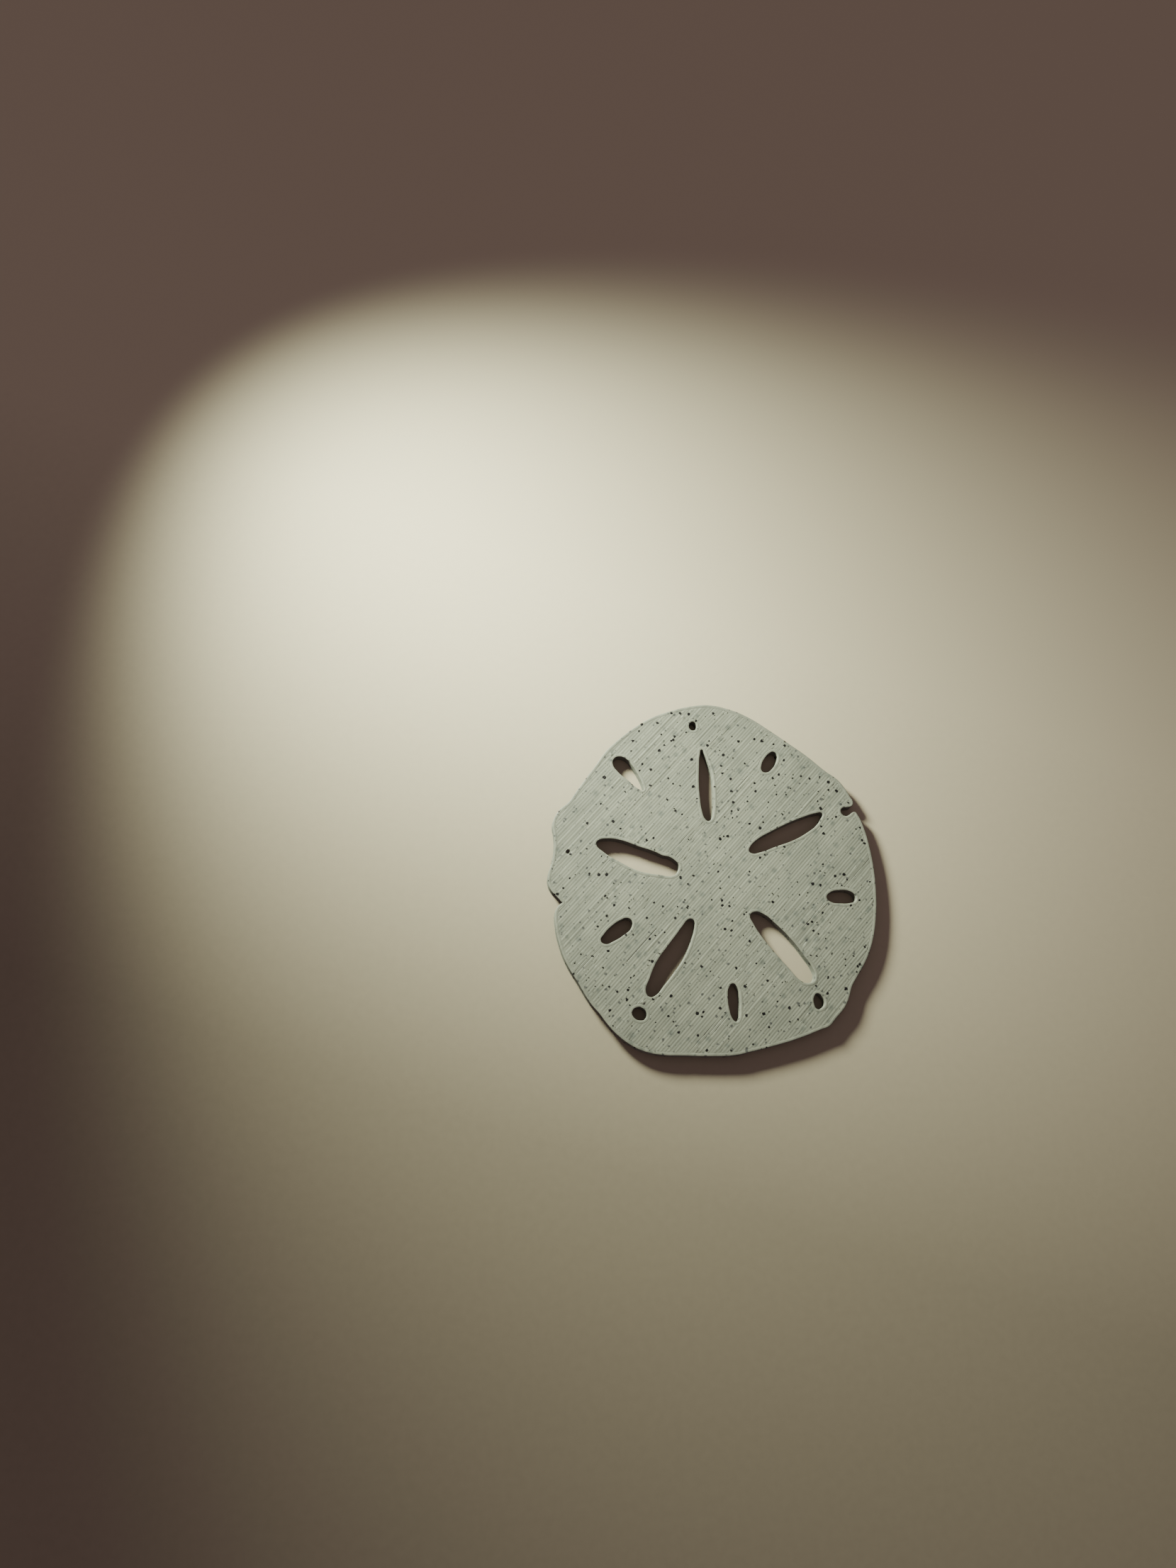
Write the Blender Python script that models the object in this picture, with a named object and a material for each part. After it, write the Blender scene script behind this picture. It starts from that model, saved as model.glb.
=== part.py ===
"""Keyhole sand dollar plate: a flat printed disc with five petal slots, keyhole slots and notches.

Lies flat with its underside on Z = 0 and its outline centred on the origin, in metres, +Z up.
"""
import bpy

MM = 0.001

# Driving dimensions, in millimetres.
LAYER_HEIGHT = 0.2
LAYER_COUNT = 8
EDGE_ROUNDING = 0.15
THICKNESS = LAYER_HEIGHT * LAYER_COUNT

# Curve steps between two points: few on the long outline, more round the tight ends.
OUTLINE_STEPS = 2
SLOT_STEPS = 3
WELD_DISTANCE = 0.001

# Every outline below is in millimetres from the middle of the star, +X right and +Y up,
# and runs clockwise. A third value marks a corner, which the curve doesn't round.
CORNER = "corner"

OUTLINE = [
    (0.0, 25.5), (3.0, 24.9), (6.0, 23.6), (9.0, 21.6), (12.0, 19.4), (14.2, 17.75),
    (17.0, 15.3), (18.6, 14.1), (19.6, 12.8), (20.3, 11.5),
    # The keyhole notch at the right: two lips, a narrow neck and a round end.
    (20.7, 10.6), (20.45, 10.05), (19.75, 9.85), (19.1, 9.8), (18.75, 9.3), (19.0, 8.75),
    (19.5, 8.55), (20.0, 8.75), (20.4, 9.05), (20.85, 9.15), (21.2, 8.75),
    (21.9, 7.0), (22.5, 4.2), (22.85, 1.2), (22.9, -2.5), (22.55, -6.2), (21.7, -9.8),
    (20.5, -12.5), (18.9, -14.9), (18.2, -16.0), (17.6, -17.6), (16.9, -18.9), (15.5, -20.4),
    (14.5, -21.45), (13.4, -21.85), (10.0, -23.05), (6.0, -24.1), (3.0, -24.75),
    (1.2, -25.12), (-2.0, -25.2), (-6.0, -25.05), (-9.0, -24.9), (-11.2, -24.45),
    (-13.0, -23.65), (-15.2, -21.95), (-16.5, -20.45), (-17.4, -19.2), (-18.5, -17.9),
    (-20.2, -15.0), (-21.8, -12.2), (-22.7, -9.6), (-23.15, -7.2), (-23.15, -5.2),
    # The small open notch at the left, under a bulge of the rim.
    (-22.8, -4.35), (-22.15, -3.85, CORNER), (-22.8, -3.1), (-23.6, -2.2), (-24.05, -1.2),
    (-24.05, 0.0), (-23.5, 1.9), (-23.1, 4.0), (-23.15, 6.0), (-23.3, 7.3), (-23.0, 8.4),
    (-22.2, 9.6), (-21.0, 10.6), (-19.9, 12.1), (-18.6, 13.9), (-17.0, 16.0), (-15.6, 18.0),
    (-13.9, 19.7), (-11.5, 21.6), (-8.6, 23.4), (-6.0, 24.4), (-3.0, 25.2),
]

PETALS = {
    "top": [
        (-1.25, 18.6), (-0.95, 18.1), (-0.5, 16.9), (-0.05, 15.4), (0.15, 13.3), (0.12, 11.0),
        (-0.05, 9.2), (-0.4, 8.15), (-0.9, 7.85), (-1.35, 8.2), (-1.7, 9.3), (-1.9, 11.3),
        (-1.95, 13.4), (-1.8, 15.8), (-1.55, 17.9),
    ],
    "right": [
        (15.95, 8.95), (15.75, 8.2), (15.0, 7.2), (13.6, 6.15), (11.4, 4.95), (8.8, 4.05),
        (6.4, 3.2), (5.2, 3.05), (4.8, 3.4), (5.0, 4.0), (6.0, 5.0), (8.2, 6.25),
        (10.6, 7.4), (13.0, 8.35), (15.0, 8.95),
    ],
    "lower_right": [
        (5.0, -5.4), (6.3, -5.75), (8.1, -7.3), (10.0, -9.35), (11.8, -11.85), (12.75, -13.4),
        (13.05, -14.6), (12.75, -15.25), (11.9, -15.5), (11.0, -15.2), (9.4, -13.45),
        (7.4, -11.05), (5.7, -8.75), (4.7, -7.0), (4.35, -5.9),
    ],
    "lower_left": [
        (-4.2, -6.3), (-3.7, -6.55), (-3.65, -7.5), (-4.2, -9.3), (-5.2, -11.5), (-6.6, -13.5),
        (-8.2, -15.4), (-9.6, -16.85), (-10.4, -17.05), (-10.9, -16.4), (-10.3, -14.5),
        (-9.2, -12.2), (-7.6, -10.1), (-6.1, -8.25), (-5.2, -7.1), (-4.7, -6.5),
    ],
    "left": [
        (-16.9, 5.0), (-15.4, 5.3), (-13.6, 5.05), (-11.0, 4.1), (-8.7, 3.3), (-7.7, 2.8),
        (-6.8, 2.6), (-5.9, 2.0), (-5.45, 1.4), (-5.7, 0.4), (-6.3, -0.1), (-8.4, 0.05),
        (-11.2, 0.6), (-14.0, 2.0), (-16.2, 3.4), (-17.15, 4.5),
    ],
}

KEYHOLES = {
    "upper_left": [
        (-13.4, 17.5), (-12.4, 17.15), (-11.6, 16.2), (-10.7, 14.6), (-10.15, 13.2),
        (-10.15, 12.45), (-10.8, 12.65), (-12.3, 13.95), (-13.7, 15.2), (-14.4, 16.4),
        (-14.15, 17.2),
    ],
    "upper_right": [
        (9.35, 18.3), (9.85, 17.9), (9.8, 16.9), (9.0, 15.7), (8.2, 15.15), (7.5, 15.35),
        (7.5, 16.3), (8.1, 17.4), (8.8, 18.1),
    ],
    "right": [
        (17.6, -2.4), (19.0, -2.55), (19.8, -3.2), (19.75, -3.95), (19.0, -4.25), (17.4, -4.3),
        (16.2, -4.1), (15.6, -3.45), (16.2, -2.7),
    ],
    "bottom": [
        (1.3, -15.4), (1.85, -15.9), (2.15, -17.4), (2.05, -19.1), (1.8, -20.3), (1.4, -20.6),
        (0.95, -20.2), (0.6, -19.0), (0.48, -17.5), (0.75, -15.85),
    ],
    "lower_left": [
        (-13.1, -6.1), (-12.45, -6.55), (-12.6, -7.5), (-13.6, -8.4), (-15.2, -9.35),
        (-16.3, -9.7), (-16.9, -9.25), (-16.4, -8.3), (-15.2, -7.1), (-14.0, -6.35),
    ],
}

PORES = {
    "top": [(-2.4, 22.9), (-1.85, 22.3), (-2.3, 21.55), (-2.95, 22.0)],
    "lower_right": [
        (13.1, -16.95), (13.85, -17.5), (14.1, -18.3), (13.6, -18.95), (12.95, -19.1),
        (12.55, -18.3), (12.65, -17.4),
    ],
    "lower_left": [
        (-12.1, -18.4), (-11.5, -18.55), (-10.95, -19.2), (-11.15, -20.0), (-11.9, -20.2),
        (-12.7, -19.8), (-12.9, -19.0),
    ],
}


def clear_scene():
    """Removes whatever the scene starts with."""
    for item in list(bpy.data.objects):
        bpy.data.objects.remove(item, do_unlink=True)


def plate_material():
    """Pale grey-green filament, matt."""
    material = bpy.data.materials.new("speckled_filament")
    material.use_nodes = True
    shader = material.node_tree.nodes["Principled BSDF"]
    shader.inputs["Base Color"].default_value = (0.40, 0.43, 0.36, 1.0)
    shader.inputs["Roughness"].default_value = 0.6
    shader.inputs["Metallic"].default_value = 0.0
    return material


def add_closed_spline(curve, points, steps):
    """One closed smooth spline through the points, with a hard corner where one is marked."""
    spline = curve.splines.new("BEZIER")
    spline.bezier_points.add(len(points) - 1)
    spline.use_cyclic_u = True
    spline.resolution_u = steps
    for knot, point in zip(spline.bezier_points, points):
        handle = "VECTOR" if CORNER in point else "AUTO"
        knot.handle_left_type = handle
        knot.handle_right_type = handle
        knot.co = (point[0] * MM, point[1] * MM, 0.0)


def plate_curve():
    """The outline and every opening as one flat filled curve with its thickness."""
    curve = bpy.data.curves.new("sand_dollar", "CURVE")
    curve.dimensions = "2D"
    curve.fill_mode = "BOTH"
    curve.bevel_resolution = 0
    curve.bevel_depth = EDGE_ROUNDING * MM
    curve.offset = -EDGE_ROUNDING * MM
    curve.extrude = (THICKNESS / 2 - EDGE_ROUNDING) * MM
    add_closed_spline(curve, OUTLINE, OUTLINE_STEPS)
    for family in (PETALS, KEYHOLES, PORES):
        for points in family.values():
            add_closed_spline(curve, list(reversed(points)), SLOT_STEPS)
    return curve


def weld(item):
    """Joins the curve's loose caps to its walls."""
    modifier = item.modifiers.new("join_caps", "WELD")
    modifier.merge_threshold = WELD_DISTANCE * MM


def rest_on_ground(item):
    """Centres the object's outline on the origin, with its underside on Z = 0."""
    bpy.context.view_layer.update()
    shown = item.evaluated_get(bpy.context.evaluated_depsgraph_get())
    solid = shown.to_mesh()
    xs, ys, zs = zip(*(vertex.co for vertex in solid.vertices))
    shown.to_mesh_clear()
    item.location = (-(min(xs) + max(xs)) / 2, -(min(ys) + max(ys)) / 2, -min(zs))


def build():
    clear_scene()
    collection = bpy.data.collections.new("sand_dollar_plate")
    bpy.context.scene.collection.children.link(collection)
    curve = plate_curve()
    curve.materials.append(plate_material())
    plate = bpy.data.objects.new("sand_dollar", curve)
    collection.objects.link(plate)
    weld(plate)
    rest_on_ground(plate)


build()
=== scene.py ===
import math
import random

import bmesh
import bpy
from mathutils import Matrix, Vector
from mathutils.geometry import delaunay_2d_cdt


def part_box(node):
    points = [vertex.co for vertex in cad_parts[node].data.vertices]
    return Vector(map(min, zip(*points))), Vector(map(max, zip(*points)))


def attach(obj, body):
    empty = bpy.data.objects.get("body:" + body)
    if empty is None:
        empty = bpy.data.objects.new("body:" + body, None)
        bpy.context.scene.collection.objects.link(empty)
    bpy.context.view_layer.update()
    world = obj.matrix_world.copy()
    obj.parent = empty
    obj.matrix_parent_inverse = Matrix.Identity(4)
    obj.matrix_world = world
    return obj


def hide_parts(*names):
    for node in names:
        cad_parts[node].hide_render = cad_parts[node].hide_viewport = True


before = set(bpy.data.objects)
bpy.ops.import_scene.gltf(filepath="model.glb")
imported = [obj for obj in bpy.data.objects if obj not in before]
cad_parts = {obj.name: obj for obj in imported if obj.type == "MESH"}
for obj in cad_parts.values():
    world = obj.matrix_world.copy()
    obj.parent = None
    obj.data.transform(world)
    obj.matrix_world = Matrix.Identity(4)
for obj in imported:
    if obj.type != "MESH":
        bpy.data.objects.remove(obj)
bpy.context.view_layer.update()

cadNode = "sand_dollar"
mm = 0.001
corner = "corner"

# Clockwise, in millimetres from the middle of the star.
rimPoints = [
    (0.0, 25.5), (3.0, 24.9), (6.0, 23.6), (9.0, 21.6), (12.0, 19.4), (14.2, 17.75),
    (17.0, 15.3), (18.6, 14.1), (19.6, 12.8), (20.3, 11.5),
    (20.7, 10.6), (20.45, 10.05), (19.75, 9.85), (19.1, 9.8), (18.75, 9.3), (19.0, 8.75),
    (19.5, 8.55), (20.0, 8.75), (20.4, 9.05), (20.85, 9.15), (21.2, 8.75),
    (21.9, 7.0), (22.5, 4.2), (22.85, 1.2), (22.9, -2.5), (22.55, -6.2), (21.7, -9.8),
    (20.5, -12.5), (18.9, -14.9), (18.2, -16.0), (17.6, -17.6), (16.9, -18.9), (15.5, -20.4),
    (14.5, -21.45), (13.4, -21.85), (10.0, -23.05), (6.0, -24.1), (3.0, -24.75),
    (1.2, -25.12), (-2.0, -25.2), (-6.0, -25.05), (-9.0, -24.9), (-11.2, -24.45),
    (-13.0, -23.65), (-15.2, -21.95), (-16.5, -20.45), (-17.4, -19.2), (-18.5, -17.9),
    (-20.2, -15.0), (-21.8, -12.2), (-22.7, -9.6), (-23.15, -7.2), (-23.15, -5.2),
    (-22.8, -4.35), (-22.15, -3.85, corner), (-22.8, -3.1), (-23.6, -2.2), (-24.05, -1.2),
    (-24.05, 0.0), (-23.5, 1.9), (-23.1, 4.0), (-23.15, 6.0), (-23.3, 7.3), (-23.0, 8.4),
    (-22.2, 9.6), (-21.0, 10.6), (-19.9, 12.1), (-18.6, 13.9), (-17.0, 16.0), (-15.6, 18.0),
    (-13.9, 19.7), (-11.5, 21.6), (-8.6, 23.4), (-6.0, 24.4), (-3.0, 25.2),
]

openings = {
    "petalTop": [
        (-1.25, 18.6), (-0.95, 18.1), (-0.5, 16.9), (-0.05, 15.4), (0.15, 13.3), (0.12, 11.0),
        (-0.05, 9.2), (-0.4, 8.15), (-0.9, 7.85), (-1.35, 8.2), (-1.7, 9.3), (-1.9, 11.3),
        (-1.95, 13.4), (-1.8, 15.8), (-1.55, 17.9)],
    "petalRight": [
        (15.95, 8.95), (15.75, 8.2), (15.0, 7.2), (13.6, 6.15), (11.4, 4.95), (8.8, 4.05),
        (6.4, 3.2), (5.2, 3.05), (4.8, 3.4), (5.0, 4.0), (6.0, 5.0), (8.2, 6.25),
        (10.6, 7.4), (13.0, 8.35), (15.0, 8.95)],
    "petalLowerRight": [
        (5.0, -5.4), (6.3, -5.75), (8.1, -7.3), (10.0, -9.35), (11.8, -11.85), (12.75, -13.4),
        (13.05, -14.6), (12.75, -15.25), (11.9, -15.5), (11.0, -15.2), (9.4, -13.45),
        (7.4, -11.05), (5.7, -8.75), (4.7, -7.0), (4.35, -5.9)],
    "petalLowerLeft": [
        (-4.2, -6.3), (-3.7, -6.55), (-3.65, -7.5), (-4.2, -9.3), (-5.2, -11.5), (-6.6, -13.5),
        (-8.2, -15.4), (-9.6, -16.85), (-10.4, -17.05), (-10.9, -16.4), (-10.3, -14.5),
        (-9.2, -12.2), (-7.6, -10.1), (-6.1, -8.25), (-5.2, -7.1), (-4.7, -6.5)],
    "petalLeft": [
        (-16.9, 5.0), (-15.4, 5.3), (-13.6, 5.05), (-11.0, 4.1), (-8.7, 3.3), (-7.7, 2.8),
        (-6.8, 2.6), (-5.9, 2.0), (-5.45, 1.4), (-5.7, 0.4), (-6.3, -0.1), (-8.4, 0.05),
        (-11.2, 0.6), (-14.0, 2.0), (-16.2, 3.4), (-17.15, 4.5)],
    "keyholeUpperLeft": [
        (-13.4, 17.5), (-12.4, 17.15), (-11.6, 16.2), (-10.7, 14.6), (-10.15, 13.2),
        (-10.15, 12.45), (-10.8, 12.65), (-12.3, 13.95), (-13.7, 15.2), (-14.4, 16.4),
        (-14.15, 17.2)],
    "keyholeUpperRight": [
        (9.35, 18.3), (9.85, 17.9), (9.8, 16.9), (9.0, 15.7), (8.2, 15.15), (7.5, 15.35),
        (7.5, 16.3), (8.1, 17.4), (8.8, 18.1)],
    "keyholeRight": [
        (17.6, -2.4), (19.0, -2.55), (19.8, -3.2), (19.75, -3.95), (19.0, -4.25), (17.4, -4.3),
        (16.2, -4.1), (15.6, -3.45), (16.2, -2.7)],
    "keyholeBottom": [
        (1.3, -15.4), (1.85, -15.9), (2.15, -17.4), (2.05, -19.1), (1.8, -20.3), (1.4, -20.6),
        (0.95, -20.2), (0.6, -19.0), (0.48, -17.5), (0.75, -15.85)],
    "keyholeLowerLeft": [
        (-13.1, -6.1), (-12.45, -6.55), (-12.6, -7.5), (-13.6, -8.4), (-15.2, -9.35),
        (-16.3, -9.7), (-16.9, -9.25), (-16.4, -8.3), (-15.2, -7.1), (-14.0, -6.35)],
    "poreTop": [(-2.4, 22.9), (-1.85, 22.3), (-2.3, 21.55), (-2.95, 22.0)],
    "poreLowerRight": [
        (13.1, -16.95), (13.85, -17.5), (14.1, -18.3), (13.6, -18.95), (12.95, -19.1),
        (12.55, -18.3), (12.65, -17.4)],
    "poreLowerLeft": [
        (-12.1, -18.4), (-11.5, -18.55), (-10.95, -19.2), (-11.15, -20.0), (-11.9, -20.2),
        (-12.7, -19.8), (-12.9, -19.0)],
}


def deselectAll():
    if bpy.context.object and bpy.context.object.mode != "OBJECT":
        bpy.ops.object.mode_set(mode="OBJECT")
    bpy.ops.object.select_all(action="DESELECT")


# The outline

# The plate is modelled in millimetres and brought down to metres when it is finished.
plate = {
    "name": "sandDollarPlate",
    "thickness": 1.6,
    "layerHeight": 0.2,
    "outlineSteps": 6,        # curve steps between two points of the rim
    "slotSteps": 5,           # and round the slots
    "joinDistance": 0.002,
    "layerCuts": (0.0, 0.22, 0.78),    # where a layer's wall has its rings, as shares of its height
    "seamShare": 0.05,
    "layerGroove": 0.022,     # how deep the seam between two layers runs into the wall
    "wallGap": 0.01,          # no ring this near the top of the wall
    "footSpread": 0.05,       # the first layer is squashed out by this much
    "footHeight": 0.9,        # as a share of the layer
    "footTaper": 0.6,
    "underRounding": 0.06,
    "smoothAngle": 50,
}


def addLoop(curve, points, steps):
    spline = curve.splines.new("BEZIER")
    spline.bezier_points.add(len(points) - 1)
    spline.use_cyclic_u = True
    spline.resolution_u = steps
    for knot, point in zip(spline.bezier_points, points):
        handle = "VECTOR" if corner in point else "AUTO"
        knot.handle_left_type = handle
        knot.handle_right_type = handle
        knot.co = (point[0], point[1], 0.0)


def drawLoops():
    deselectAll()
    bpy.ops.curve.primitive_bezier_circle_add(radius=1.0, location=(0, 0, 0))
    item = bpy.context.object
    item.name = plate["name"]
    curve = item.data
    curve.dimensions = "2D"
    curve.fill_mode = "NONE"
    curve.splines.clear()
    addLoop(curve, rimPoints, plate["outlineSteps"])
    for loopPoints in openings.values():
        addLoop(curve, loopPoints[::-1], plate["slotSteps"])
    bpy.ops.object.convert(target="MESH")
    item = bpy.context.object
    xs = [v.co.x for v in item.data.vertices]
    ys = [v.co.y for v in item.data.vertices]
    low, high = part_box(cadNode)
    middle = (low + high) / 2 / mm
    shift = Vector((middle.x - (min(xs) + max(xs)) / 2, middle.y - (min(ys) + max(ys)) / 2, 0.0))
    item.data.transform(Matrix.Translation(shift + Vector((0, 0, rimBead["wallTop"]))))
    return item, shift


def findLoops(mesh):
    loops = []
    left = set(mesh.verts)
    for start in mesh.verts:
        if start not in left:
            continue
        ring = [start]
        left.discard(start)
        while True:
            fresh = [v for v in (e.other_vert(ring[-1]) for e in ring[-1].link_edges) if v in left]
            if not fresh:
                break
            ring.append(fresh[0])
            left.discard(fresh[0])
        loops.append(ring)
    return loops


# Bead

# The bead laid round the rim and every opening, as steps towards the material: (sideways, up).
rimBead = {
    "wallTop": 1.53,          # height where the wall turns over into the bead
    "steps": [(0.02, 0.035), (0.05, 0.025), (0.09, 0.01),
              (0.12, 0.0), (0.09, -0.008), (0.05, -0.02)],
    "rasterStep": (0.06, 0.012),
    "closing": 0.6,           # share of a tight bend's radius that the bead may take up
    "smoothing": 4,           # times that the width is evened out along a loop
}


def aimInwards(item):
    # every vertex keeps the way into the material, shorter where the rim turns too tightly
    mesh = bmesh.from_edit_mesh(item.data)
    inwards = mesh.verts.layers.float_vector.new("inwards")
    width = sum(step[0] for step in rimBead["steps"]) + rimBead["rasterStep"][0]
    loops = findLoops(mesh)
    areas = [sum(a.co.x * b.co.y - b.co.x * a.co.y for a, b in zip(ring, ring[1:] + ring[:1])) / 2
             for ring in loops]
    largest = max(abs(area) for area in areas)
    for ring, area in zip(loops, areas):
        # the largest loop is the rim, with the material inside it
        side = 1 if (area > 0) == (abs(area) == largest) else -1
        count = len(ring)
        edges = [ring[(i + 1) % count].co - ring[i].co for i in range(count)]
        lefts = [Vector((-edge.y, edge.x, 0.0)).normalized() * side for edge in edges]
        ways = [(lefts[i - 1] + lefts[i]).normalized() for i in range(count)]
        reach = [1.0] * count
        for i, edge in enumerate(edges):
            after = (i + 1) % count
            closing = -edge.dot(ways[after] - ways[i]) / edge.length_squared * width
            if closing > rimBead["closing"]:
                limit = rimBead["closing"] / closing
                reach[i] = min(reach[i], limit)
                reach[after] = min(reach[after], limit)
        for _ in range(rimBead["smoothing"]):
            reach = [min(reach[i], (reach[i - 1] + reach[i] + reach[(i + 1) % count]) / 3)
                     for i in range(count)]
        for vert, way, share in zip(ring, ways, reach):
            vert[inwards] = way * share
    bmesh.update_edit_mesh(item.data)
    print("plate: loops", len(loops))


def pushInwards(item, distance, evenly=False):
    # moves the selected vertices sideways, by less at the tight bends unless it is done evenly
    mesh = bmesh.from_edit_mesh(item.data)
    inwards = mesh.verts.layers.float_vector["inwards"]
    for vert in mesh.verts:
        if vert.select:
            way = vert[inwards].normalized() if evenly else vert[inwards]
            vert.co += way * distance
    bmesh.update_edit_mesh(item.data)


def isInside(x, y, sides):
    # a point is on the face where a line to its right crosses an odd number of sides
    crossings = 0
    for (ax, ay), (bx, by) in sides:
        if (ay > y) != (by > y) and x < ax + (y - ay) * (bx - ax) / (by - ay):
            crossings += 1
    return crossings % 2 == 1


def fillFlat(item, extra=()):
    # fills between the selected loops and leaves the new faces selected
    mesh = bmesh.from_edit_mesh(item.data)
    mesh.verts.index_update()
    edges = [edge for edge in mesh.edges if edge.select]
    # in a fixed order, so that every run makes the same mesh
    verts = sorted({v for edge in edges for v in edge.verts}, key=lambda v: v.index)
    number = {v: count for count, v in enumerate(verts)}
    level = verts[0].co.z
    flat = [v.co.xy for v in verts] + [Vector(point) for point in extra]
    pairs = [(number[edge.verts[0]], number[edge.verts[1]]) for edge in edges]
    sides = [(flat[a][:], flat[b][:]) for a, b in pairs]
    allTriangles, nearest = 0, 0.0001
    places, _, triangles, sources, _, _ = delaunay_2d_cdt(flat, pairs, [], allTriangles, nearest)
    corners = {}
    for count, origins in enumerate(sources):
        known = [origin for origin in origins if origin < len(verts)]
        if known:
            corners[count] = verts[known[0]]
    faces = []
    for triangle in triangles:
        middle = sum((places[c] for c in triangle), Vector((0, 0))) / 3
        if not isInside(middle.x, middle.y, sides):
            continue
        for c in triangle:
            if c not in corners:
                corners[c] = mesh.verts.new((places[c].x, places[c].y, level))
        faces.append(mesh.faces.new([corners[c] for c in triangle]))
    for piece in list(mesh.verts) + list(mesh.edges) + list(mesh.faces):
        piece.select = False
    for face in faces:
        face.select_set(True)
    mesh.normal_update()
    bmesh.update_edit_mesh(item.data)
    bpy.ops.mesh.select_mode(type="FACE")


def layBead(item, shift):
    bpy.ops.object.mode_set(mode="EDIT")
    bpy.ops.mesh.select_mode(type="EDGE")
    bpy.ops.mesh.select_all(action="SELECT")
    bpy.ops.mesh.remove_doubles(threshold=plate["joinDistance"])
    aimInwards(item)
    for sideways, up in rimBead["steps"] + [rimBead["rasterStep"]]:
        bpy.ops.mesh.extrude_region_move(TRANSFORM_OT_translate={"value": (0, 0, up)})
        pushInwards(item, sideways)
    fillFlat(item, markPoints(shift))


# Marks

marks = {
    "spots": [    # x, y, radius and height
        (-21.15, 3.4, 0.42, -0.55),      # pit
        (-11.35, -17.75, 0.4, 0.12),     # blobs
        (-14.6, 17.8, 0.35, 0.1),
        (-3.8, 23.6, 0.4, 0.1),
    ],
    "rings": (0.5, 1.0),      # rings of points round a spot, as shares of its radius
    "turns": 8,               # points to a ring
}


def markPoints(shift):
    points = []
    for x, y, radius, height in marks["spots"]:
        points.append((x + shift.x, y + shift.y))
        for count, share in enumerate(marks["rings"]):
            for turn in range(marks["turns"]):
                angle = math.tau * (turn + count / 2) / marks["turns"]
                points.append((x + shift.x + radius * share * math.cos(angle),
                               y + shift.y + radius * share * math.sin(angle)))
    return points


def pressMarks(item, shift):
    mesh = bmesh.from_edit_mesh(item.data)
    for vert in mesh.verts:
        if vert.hide:
            continue
        for x, y, radius, height in marks["spots"]:
            apart = math.hypot(vert.co.x - x - shift.x, vert.co.y - y - shift.y) / radius
            if apart < 1.0:
                vert.co.z += height * (math.cos(math.pi * apart) + 1) / 2
    bmesh.update_edit_mesh(item.data)


# Print lines

# The parallel lines across the face.
raster = {
    "pitch": 0.4,
    "angle": 46.5,            # degrees from +X
    "samples": 4,             # cuts to a line
    "crossCut": 1.5,          # distance between the cuts the other way
    "cutSlack": 0.0005,
    "groove": 0.03,
    "grooveShare": 0.02,      # a vertex this near a line's edge lies in the groove
    "lineSlack": 0.001,
    "lineSpread": 0.007,      # each line lies a little higher or lower than the next
    "pairStep": 0.006,        # every second line sits lower
    "streak": 0.022,          # and some stretches stand proud
    "streakChance": 0.2,
    "streakStart": (-20, 20),
    "streakLength": (4, 14),
    "seed": 12,
}


def rasterWays():
    angle = math.radians(raster["angle"])
    along = Vector((math.cos(angle), math.sin(angle), 0.0))
    across = Vector((-math.sin(angle), math.cos(angle), 0.0))
    return along, across


def hideBead():
    # only the face inside the bead is cut and shaped
    bpy.ops.mesh.hide(unselected=True)


def showBead():
    bpy.ops.mesh.reveal(select=False)


def cutLines(item):
    along, across = rasterWays()
    mesh = bmesh.from_edit_mesh(item.data)
    shown = [v.co for v in mesh.verts if not v.hide]
    for way, step in ((along, raster["crossCut"]), (across, raster["pitch"] / raster["samples"])):
        places = [co.dot(way) for co in shown]
        first = math.ceil(min(places) / step)
        last = math.floor(max(places) / step)
        for count in range(first, last + 1):
            bpy.ops.mesh.select_all(action="SELECT")
            bpy.ops.mesh.bisect(plane_co=way * step * count, plane_no=way,
                                use_fill=False, threshold=raster["cutSlack"])
    bpy.ops.mesh.select_all(action="SELECT")


def shapeLines(item):
    along, across = rasterWays()
    mesh = bmesh.from_edit_mesh(item.data)
    chooser = random.Random(raster["seed"])
    edge = raster["grooveShare"]
    heights = {}
    streaks = {}
    for vert in mesh.verts:
        if vert.hide:
            continue
        place = vert.co.dot(across) / raster["pitch"]
        line = math.floor(place + raster["lineSlack"])
        share = place - line
        if line not in heights:
            heights[line] = (chooser.uniform(-1, 1) * raster["lineSpread"]
                             + (line % 2) * raster["pairStep"])
            start = chooser.uniform(*raster["streakStart"])
            streaks[line] = None
            if chooser.random() < raster["streakChance"]:
                streaks[line] = (start, start + chooser.uniform(*raster["streakLength"]))
        inGroove = share < edge or share > 1 - edge
        rise = heights[line] - (raster["groove"] if inGroove else 0.0)
        stretch = streaks[line]
        if stretch and stretch[0] < vert.co.dot(along) < stretch[1] and not inGroove:
            rise += raster["streak"]
        vert.co.z += rise
    bmesh.update_edit_mesh(item.data)


# Walls and underside

def wallLevels():
    # from the top of the wall down
    height = plate["layerHeight"]
    layers = round(plate["thickness"] / height)
    levels = [(layer + share) * height for layer in range(layers) for share in plate["layerCuts"]]
    highest = rimBead["wallTop"] - plate["wallGap"]
    levels = [level for level in levels if plate["underRounding"] < level < highest]
    return sorted(levels, reverse=True) + [plate["underRounding"]]


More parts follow.
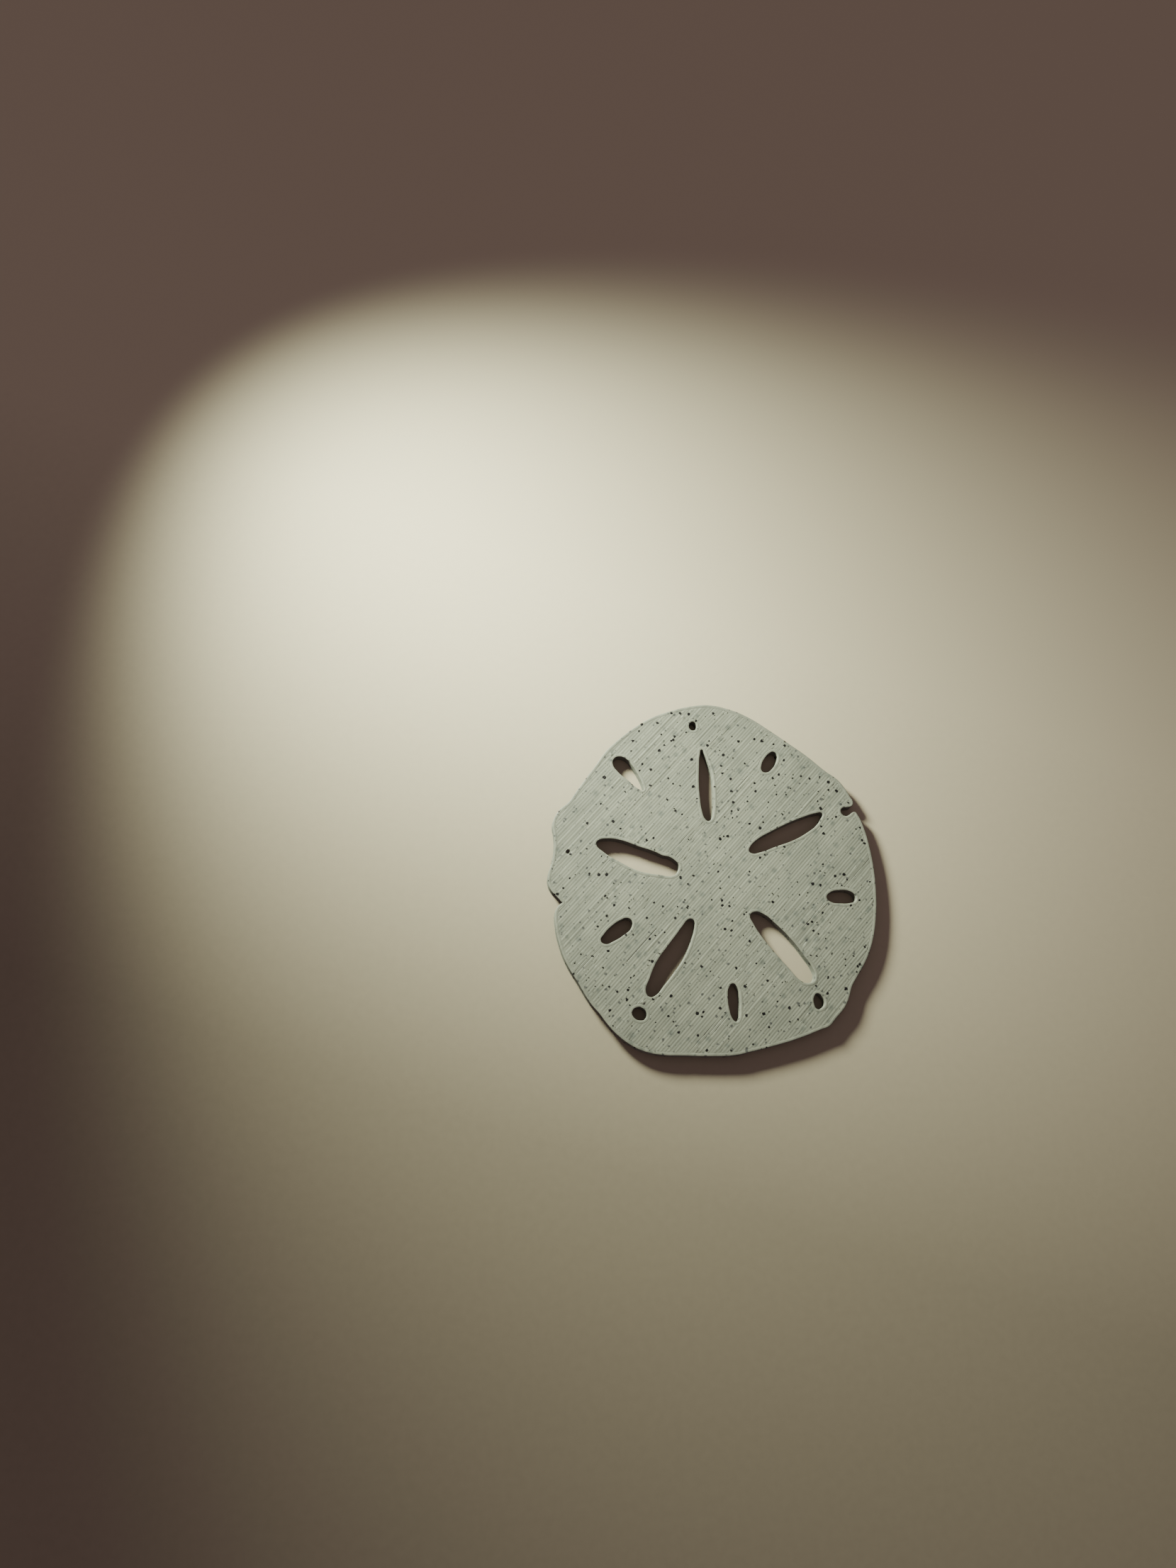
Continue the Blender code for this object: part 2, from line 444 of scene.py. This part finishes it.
def shapeWalls(item):
    height = plate["layerHeight"]
    seam = plate["seamShare"]
    mesh = bmesh.from_edit_mesh(item.data)
    inwards = mesh.verts.layers.float_vector["inwards"]
    for vert in mesh.verts:
        if vert.co.z > rimBead["wallTop"] - plate["wallGap"] / 2:
            continue
        share = (vert.co.z / height) % 1.0
        move = plate["layerGroove"] if share < seam or share > 1 - seam else 0.0
        if vert.co.z < height * plate["footHeight"]:
            move -= plate["footSpread"] * (1 - vert.co.z / height * plate["footTaper"])
        vert.co += vert[inwards].normalized() * move
    bmesh.update_edit_mesh(item.data)


def dropWalls(item):
    bpy.ops.mesh.select_all(action="DESELECT")
    bpy.ops.mesh.select_mode(type="EDGE")
    bpy.ops.mesh.select_non_manifold(extend=False, use_wire=False, use_boundary=True,
                                     use_multi_face=False, use_non_contiguous=False,
                                     use_verts=False)
    last = rimBead["wallTop"]
    for level in wallLevels():
        bpy.ops.mesh.extrude_region_move(TRANSFORM_OT_translate={"value": (0, 0, level - last)})
        last = level
    shapeWalls(item)
    bpy.ops.mesh.extrude_region_move(TRANSFORM_OT_translate={"value": (0, 0, -last)})
    pushInwards(item, plate["underRounding"], evenly=True)
    fillFlat(item)


def finishMesh(item):
    bpy.ops.mesh.select_mode(type="FACE")
    bpy.ops.mesh.select_all(action="SELECT")
    bpy.ops.mesh.quads_convert_to_tris(quad_method="BEAUTY", ngon_method="BEAUTY")
    bpy.ops.mesh.normals_make_consistent(inside=False)
    mesh = bmesh.from_edit_mesh(item.data)
    mesh.verts.layers.float_vector.remove(mesh.verts.layers.float_vector["inwards"])
    loose = sum(1 for edge in mesh.edges if not edge.is_manifold)
    holes = (2 - len(mesh.verts) + len(mesh.edges) - len(mesh.faces)) // 2
    print("plate: edges left open", loose, "and openings through it", holes)
    bmesh.update_edit_mesh(item.data)
    bpy.ops.object.mode_set(mode="OBJECT")
    item.data.transform(Matrix.Scale(mm, 4))
    bpy.ops.object.shade_smooth_by_angle(angle=math.radians(plate["smoothAngle"]))


# Materials

def newMaterial(name):
    material = bpy.data.materials.new(name)
    material.use_nodes = True
    nodes = material.node_tree.nodes
    return material, nodes, material.node_tree.links, nodes["Principled BSDF"]


def addNode(nodes, kind, **values):
    node = nodes.new(kind)
    for key, value in values.items():
        setattr(node, key, value)
    return node


def noiseNode(nodes, links, place, scale, detail):
    noise = addNode(nodes, "ShaderNodeTexNoise", noise_dimensions="3D")
    noise.inputs["Scale"].default_value = scale
    noise.inputs["Detail"].default_value = detail
    links.new(place, noise.inputs["Vector"])
    return noise


def rangeNode(nodes, links, value, source, target):
    node = nodes.new("ShaderNodeMapRange")
    names = ("From Min", "From Max", "To Min", "To Max")
    for name, number in zip(names, (*source, *target)):
        node.inputs[name].default_value = number
    links.new(value, node.inputs["Value"])
    return node.outputs[0]


def rampNode(nodes, links, value, stops):
    node = nodes.new("ShaderNodeValToRGB")
    for element, (position, colour) in zip(node.color_ramp.elements, stops):
        element.position = position
        element.color = (*colour, 1.0)
    links.new(value, node.inputs[0])
    return node.outputs[0]


def mixColour(nodes, links, factor, first, second):
    mix = addNode(nodes, "ShaderNodeMix", data_type="RGBA")
    links.new(factor, mix.inputs[0])
    for socket, value in ((mix.inputs[6], first), (mix.inputs[7], second)):
        if isinstance(value, tuple):
            socket.default_value = (*value, 1.0)
        else:
            links.new(value, socket)
    return mix.outputs[2]


filament = {
    "base": (0.405, 0.465, 0.35),
    "shade": (0.345, 0.40, 0.305),
    "speck": (0.012, 0.013, 0.013),
    "grey": (0.10, 0.115, 0.11),
    "blue": (0.16, 0.205, 0.175),
    "cloudScale": 0.35,                 # slow change between base and shade
    "cloudStops": (0.38, 0.62),
    "warpScale": 3.2,                   # bends the specks out of round
    "warpReach": 0.28,
    # cells to a millimetre, speck radius in cells, softness, strength, colour
    "blots": (0.75, (0.1, 0.55), 0.9, 0.6, "blue"),
    "specks": [
        (1.7, (0.1, 0.2), 0.5, 0.75, "grey"),
        (1.05, (0.13, 0.3), 0.5, 0.85, "grey"),
        (0.85, (0.11, 0.25), 0.3, 1.0, "speck"),
    ],
    "speckPower": 1.2,                  # more of them are small than large
    "blotShift": 3.1,
    "speckShift": 11.7,                 # each kind of speck is moved this far from the last
    "shiftWay": (1.0, 1.7, 2.3),
    # painted highlight and shade along the print lines, scaled into the colour
    "lineShadingScale": (0.06, 2.8, 1.0),    # cells to a millimetre along the lines, across and down
    "lineShadingRange": (0.3, 0.7),
    "paintedLineShade": (0.88, 1.12),
    "grainScale": 6.0,
    "roughness": (0.42, 0.6),
    "bump": 0.25,
    "bumpDepth": 0.02,
    "ior": 1.46,
    "subsurface": 0.04,
    "subsurfaceScale": 0.5,
    "subsurfaceRadius": (1.0, 0.9, 0.7),
}


def speckMask(nodes, links, coordinates, kind, distance):
    # a cell's random colour sets how large its speck is, and the distance to its point draws it
    size, radii, softness, strength, tone = kind
    shift = addNode(nodes, "ShaderNodeVectorMath", operation="ADD")
    shift.inputs[1].default_value = [distance * part for part in filament["shiftWay"]]
    links.new(coordinates, shift.inputs[0])
    cells = addNode(nodes, "ShaderNodeTexVoronoi", voronoi_dimensions="3D", feature="F1")
    cells.inputs["Scale"].default_value = size
    links.new(shift.outputs[0], cells.inputs["Vector"])
    apart = addNode(nodes, "ShaderNodeSeparateColor")
    links.new(cells.outputs["Color"], apart.inputs[0])
    power = addNode(nodes, "ShaderNodeMath", operation="POWER")
    power.inputs[1].default_value = filament["speckPower"]
    links.new(apart.outputs[0], power.inputs[0])
    radius = rangeNode(nodes, links, power.outputs[0], (0.0, 1.0), radii)
    inner = addNode(nodes, "ShaderNodeMath", operation="MULTIPLY")
    inner.inputs[1].default_value = 1.0 - softness
    links.new(radius, inner.inputs[0])
    edge = addNode(nodes, "ShaderNodeMapRange", interpolation_type="SMOOTHSTEP")
    edge.inputs["To Min"].default_value = strength
    edge.inputs["To Max"].default_value = 0.0
    links.new(cells.outputs["Distance"], edge.inputs["Value"])
    links.new(inner.outputs[0], edge.inputs["From Min"])
    links.new(radius, edge.inputs["From Max"])
    return edge.outputs[0]


def paintLineShading(nodes, links, place, colour):
    # painted highlight and shade: paler and darker bands that run with the print lines, in place of
    # the light and shade on their ridges
    turned = addNode(nodes, "ShaderNodeMapping", vector_type="TEXTURE")
    turned.inputs["Rotation"].default_value = (0.0, 0.0, math.radians(raster["angle"]))
    links.new(place, turned.inputs["Vector"])
    stretched = addNode(nodes, "ShaderNodeMapping")
    stretched.inputs["Scale"].default_value = filament["lineShadingScale"]
    links.new(turned.outputs[0], stretched.inputs["Vector"])
    paintedLineNoise = noiseNode(nodes, links, stretched.outputs[0], 1.0, 3.0)
    shade = rangeNode(nodes, links, paintedLineNoise.outputs["Fac"],
                      filament["lineShadingRange"], filament["paintedLineShade"])
    lineShadedColour = addNode(nodes, "ShaderNodeVectorMath", operation="SCALE")
    links.new(colour, lineShadedColour.inputs[0])
    links.new(shade, lineShadedColour.inputs["Scale"])
    return lineShadedColour.outputs[0]


def bendPlaces(nodes, links, place):
    warp = noiseNode(nodes, links, place, filament["warpScale"], 2.0)
    centred = addNode(nodes, "ShaderNodeVectorMath", operation="SUBTRACT")
    centred.inputs[1].default_value = (0.5, 0.5, 0.5)
    links.new(warp.outputs["Color"], centred.inputs[0])
    bent = addNode(nodes, "ShaderNodeVectorMath", operation="MULTIPLY_ADD")
    bent.inputs[1].default_value = [filament["warpReach"]] * 3
    links.new(centred.outputs[0], bent.inputs[0])
    links.new(place, bent.inputs[2])
    return bent.outputs[0]


def makeFilament():
    material, nodes, links, shader = newMaterial("speckledFilament")
    texture = nodes.new("ShaderNodeTexCoord")
    scale = addNode(nodes, "ShaderNodeMapping")
    scale.inputs["Scale"].default_value = (1 / mm, 1 / mm, 1 / mm)
    links.new(texture.outputs["Object"], scale.inputs["Vector"])
    place = scale.outputs[0]
    bent = bendPlaces(nodes, links, place)

    clouds = noiseNode(nodes, links, place, filament["cloudScale"], 4.0)
    stops = zip(filament["cloudStops"], (filament["shade"], filament["base"]))
    colour = rampNode(nodes, links, clouds.outputs["Fac"], list(stops))
    mask = speckMask(nodes, links, bent, filament["blots"], filament["blotShift"])
    colour = mixColour(nodes, links, mask, colour, filament[filament["blots"][-1]])
    for count, kind in enumerate(filament["specks"]):
        mask = speckMask(nodes, links, bent, kind, filament["speckShift"] * (count + 1))
        colour = mixColour(nodes, links, mask, colour, filament[kind[-1]])
    # the painted highlight and shade of the print lines multiplies the colour
    colour = paintLineShading(nodes, links, place, colour)
    links.new(colour, shader.inputs["Base Color"])

    grain = noiseNode(nodes, links, place, filament["grainScale"], 4.0)
    rough = rangeNode(nodes, links, grain.outputs["Fac"], (0.0, 1.0), filament["roughness"])
    links.new(rough, shader.inputs["Roughness"])
    bump = addNode(nodes, "ShaderNodeBump")
    bump.inputs["Strength"].default_value = filament["bump"]
    bump.inputs["Distance"].default_value = filament["bumpDepth"] * mm
    links.new(grain.outputs["Fac"], bump.inputs["Height"])
    links.new(bump.outputs[0], shader.inputs["Normal"])
    shader.inputs["IOR"].default_value = filament["ior"]
    shader.inputs["Subsurface Weight"].default_value = filament["subsurface"]
    shader.inputs["Subsurface Scale"].default_value = filament["subsurfaceScale"] * mm
    shader.inputs["Subsurface Radius"].default_value = filament["subsurfaceRadius"]
    return material


def buildPlate():
    item, shift = drawLoops()
    layBead(item, shift)
    print("plate: bead laid", len(item.data.vertices))
    hideBead()
    cutLines(item)
    print("plate: lines cut")
    shapeLines(item)
    print("plate: lines shaped")
    pressMarks(item, shift)
    showBead()
    dropWalls(item)
    print("plate: walls and underside")
    finishMesh(item)
    item.data.materials.clear()
    item.data.materials.append(makeFilament())
    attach(item, "root")
    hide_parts(cadNode)
    print("plate: finished with", len(item.data.polygons), "triangles")


# Floor

paper = {
    "size": 1.6,
    # painted light: the floor is mixed from this lit tone to the dimmer one below, a painted
    # falloff of the lamp
    "light": (0.95, 0.93, 0.64),
    "dark": (0.49, 0.475, 0.325),
    "paintedLightSlope": (0.35, 1.0, 0.0),     # painted light: the way that the floor gets lighter, a painted falloff of the lamp
    "reach": (-45 * mm, 45 * mm),
    "grainScale": 900.0,
    "mottle": 0.12,
    "roughness": 0.85,
    "specular": 0.2,
}


def makePaper():
    material, nodes, links, shader = newMaterial("creamPaperPaintedFalloff")
    texture = nodes.new("ShaderNodeTexCoord")
    place = texture.outputs["Object"]
    grain = noiseNode(nodes, links, place, paper["grainScale"], 5.0)
    along = addNode(nodes, "ShaderNodeVectorMath", operation="DOT_PRODUCT")
    along.inputs[1].default_value = paper["paintedLightSlope"]
    links.new(place, along.inputs[0])
    share = rangeNode(nodes, links, along.outputs["Value"], paper["reach"], (0.0, 1.0))
    # painted light: the falloff share, with the grain on top, sets the mix from the dim tone to the
    # lit one
    mottle = addNode(nodes, "ShaderNodeMath", operation="MULTIPLY_ADD")
    mottle.inputs[1].default_value = paper["mottle"]
    links.new(grain.outputs["Fac"], mottle.inputs[0])
    links.new(share, mottle.inputs[2])
    colour = mixColour(nodes, links, mottle.outputs[0], paper["dark"], paper["light"])
    links.new(colour, shader.inputs["Base Color"])
    shader.inputs["Roughness"].default_value = paper["roughness"]
    shader.inputs["Specular IOR Level"].default_value = paper["specular"]
    return material


def buildFloor():
    deselectAll()
    bpy.ops.mesh.primitive_plane_add(size=paper["size"], location=(0, 0, 0))
    floor = bpy.context.object
    floor.name = "paperFloor"
    floor.data.materials.append(makePaper())
    print("floor: done")


# Camera and light

# The camera stands where the photograph's did, measured from the plate.
view = {
    "place": (-35.5 * mm, -36.6 * mm, 171.2 * mm),
    "aim": (-17.5 * mm, 13.2 * mm, 1.6 * mm),
    "roll": -1.65,
    "lens": 28.48,
    "sensor": 36.0,
    "clipStart": 5 * mm,
}


def addCamera():
    place = Vector(view["place"])
    forward = (Vector(view["aim"]) - place).normalized()
    right = forward.cross(Vector((0, 1, 0))).normalized()
    up = right.cross(forward)
    roll = Matrix.Rotation(math.radians(view["roll"]), 3, "Z")
    turn = Matrix((right, up, -forward)).transposed() @ roll
    bpy.ops.object.camera_add(location=place, rotation=turn.to_euler())
    camera = bpy.context.object
    camera.data.lens = view["lens"]
    camera.data.sensor_width = view["sensor"]
    camera.data.clip_start = view["clipStart"]
    bpy.context.scene.camera = camera


# Azimuth is counted from +X, in degrees. The key light has no bounces, so the slots stay dark.
lights = {
    "key": {"azimuth": 133, "elevation": 26, "distance": 0.14, "size": 0.034, "power": 0.088,
            "aim": (3 * mm, 8 * mm, 0.0), "spread": 80, "bounces": 0,
            "colour": (1.0, 0.97, 0.84)},
    "top": {"azimuth": 110, "elevation": 75, "distance": 0.5, "size": 0.3, "power": 0.03,
            "aim": (0.0, 0.0, 0.0), "spread": 180, "bounces": 4,
            "colour": (1.0, 0.95, 0.85)},
}
ambient = {"colour": (1.0, 0.68, 0.8), "strength": 0.11}


def addLights():
    for name, light in lights.items():
        azimuth = math.radians(light["azimuth"])
        elevation = math.radians(light["elevation"])
        towards = Vector((math.cos(azimuth) * math.cos(elevation),
                          math.sin(azimuth) * math.cos(elevation), math.sin(elevation)))
        place = towards * light["distance"]
        turn = (place - Vector(light["aim"])).to_track_quat("Z", "Y").to_euler()
        bpy.ops.object.light_add(type="AREA", location=place, rotation=turn)
        lamp = bpy.context.object
        lamp.name = name + "Light"
        lamp.data.shape = "DISK"
        lamp.data.size = light["size"]
        lamp.data.energy = light["power"]
        lamp.data.color = light["colour"]
        lamp.data.spread = math.radians(light["spread"])
        lamp.data.cycles.max_bounces = light["bounces"]
    world = bpy.data.worlds.new("studio")
    world.use_nodes = True
    background = world.node_tree.nodes["Background"]
    background.inputs["Color"].default_value = (*ambient["colour"], 1.0)
    background.inputs["Strength"].default_value = ambient["strength"]
    bpy.context.scene.world = world
    print("lights: done")


buildPlate()
buildFloor()
addCamera()
addLights()
